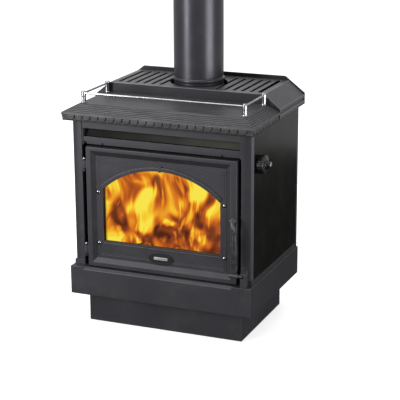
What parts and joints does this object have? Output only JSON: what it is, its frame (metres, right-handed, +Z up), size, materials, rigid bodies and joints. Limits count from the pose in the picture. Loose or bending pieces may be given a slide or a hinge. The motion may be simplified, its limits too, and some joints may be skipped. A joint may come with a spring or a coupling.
{
  "type": "wood burning stove",
  "caption": "Freestanding wood stove with an arched window door, cast hob with pot rail, enamelled side panels, plinth and flue pipe.",
  "frame": {"origin": "under the middle of the bounding box, on the floor", "axes": "+Z up, the door faces -Y, the air knob is on the +X side"},
  "size_m": [0.625, 0.4582, 1],
  "materials": {
    "stove_paint": "heat-resistant metallic charcoal paint, satin",
    "side_enamel": "gloss black vitreous enamel",
    "cast_iron": "charcoal stove paint over cast iron, fine grain",
    "chrome": "bright chrome plate",
    "bare_steel": "bare mild steel, heat darkened",
    "firebrick": "matt insulating firebrick, sooted",
    "ceramic_rope": "braided ceramic fibre rope",
    "black_grip": "black heat-resistant phenolic, satin",
    "door_glass": "clear ceramic glass",
    "badge": "black plate with a plain brushed bar"
  },
  "bodies": {
    "root": {"plinth": "stove_paint", "base_skirt": "stove_paint", "cabinet_base_frame": "stove_paint", "right_pillar": "stove_paint", "left_pillar": "stove_paint", "right_rear_corner": "stove_paint", "left_rear_corner": "stove_paint", "rear_panel": "stove_paint", "header_panel": "stove_paint", "firebox_front_plate": "stove_paint", "rear_upstand": "stove_paint", "flue_pipe": "stove_paint", "lower_hinge_bracket": "stove_paint", "upper_hinge_bracket": "stove_paint", "catch_bracket": "stove_paint", "right_side_panel": "side_enamel", "left_side_panel": "side_enamel", "air_outlet_deflector": "side_enamel", "front_top_casting": "cast_iron", "rear_top_casting": "cast_iron", "rail_post_front_left": "chrome", "rail_post_rear_left": "chrome", "rail_post_front_right": "chrome", "rail_post_rear_right": "chrome", "front_rail": "chrome", "right_rail": "chrome", "left_rail": "chrome", "lower_hinge_pin": "chrome", "upper_hinge_pin": "chrome", "firebox_shell": "bare_steel", "secondary_air_tube": "bare_steel", "air_wash_channel": "bare_steel", "air_duct": "bare_steel", "flue_spigot": "bare_steel", "latch_keeper": "bare_steel", "right_side_brick": "firebrick", "left_side_brick": "firebrick", "rear_brick": "firebrick", "right_floor_brick": "firebrick", "left_floor_brick": "firebrick", "baffle_plate": "firebrick"},
    "door": {"door_frame": "cast_iron", "arched_panel": "cast_iron", "door_glass": "door_glass", "glass_gasket": "ceramic_rope", "glass_retainer": "bare_steel", "door_rope_seal": "ceramic_rope", "glass_bolt_1": "chrome", "glass_bolt_2": "chrome", "glass_bolt_3": "chrome", "glass_bolt_4": "chrome", "badge_plate": "badge", "catch_pin": "bare_steel"},
    "handle": {"door_handle": "cast_iron", "handle_grip": "black_grip", "latch_cam": "bare_steel"},
    "air_control": {"air_knob": "black_grip", "air_knob_cap": "chrome", "air_flap": "bare_steel"}
  },
  "joints": [
    {"name": "door_hinge", "type": "hinge", "parent": "root", "child": "door", "pos_m": [-0.256, -0.1899, 0.369], "axis": [0, 0, -1], "range_deg": [0, 110]},
    {"name": "handle_turn", "type": "hinge", "parent": "door", "child": "handle", "pos_m": [0.2185, -0.2079, 0.378], "axis": [0, -1, 0], "range_deg": [0, 75]},
    {"name": "air_knob_turn", "type": "hinge", "parent": "root", "child": "air_control", "pos_m": [0.2775, -0.1409, 0.537], "axis": [1, 0, 0], "range_deg": [0, 90]}
  ]
}
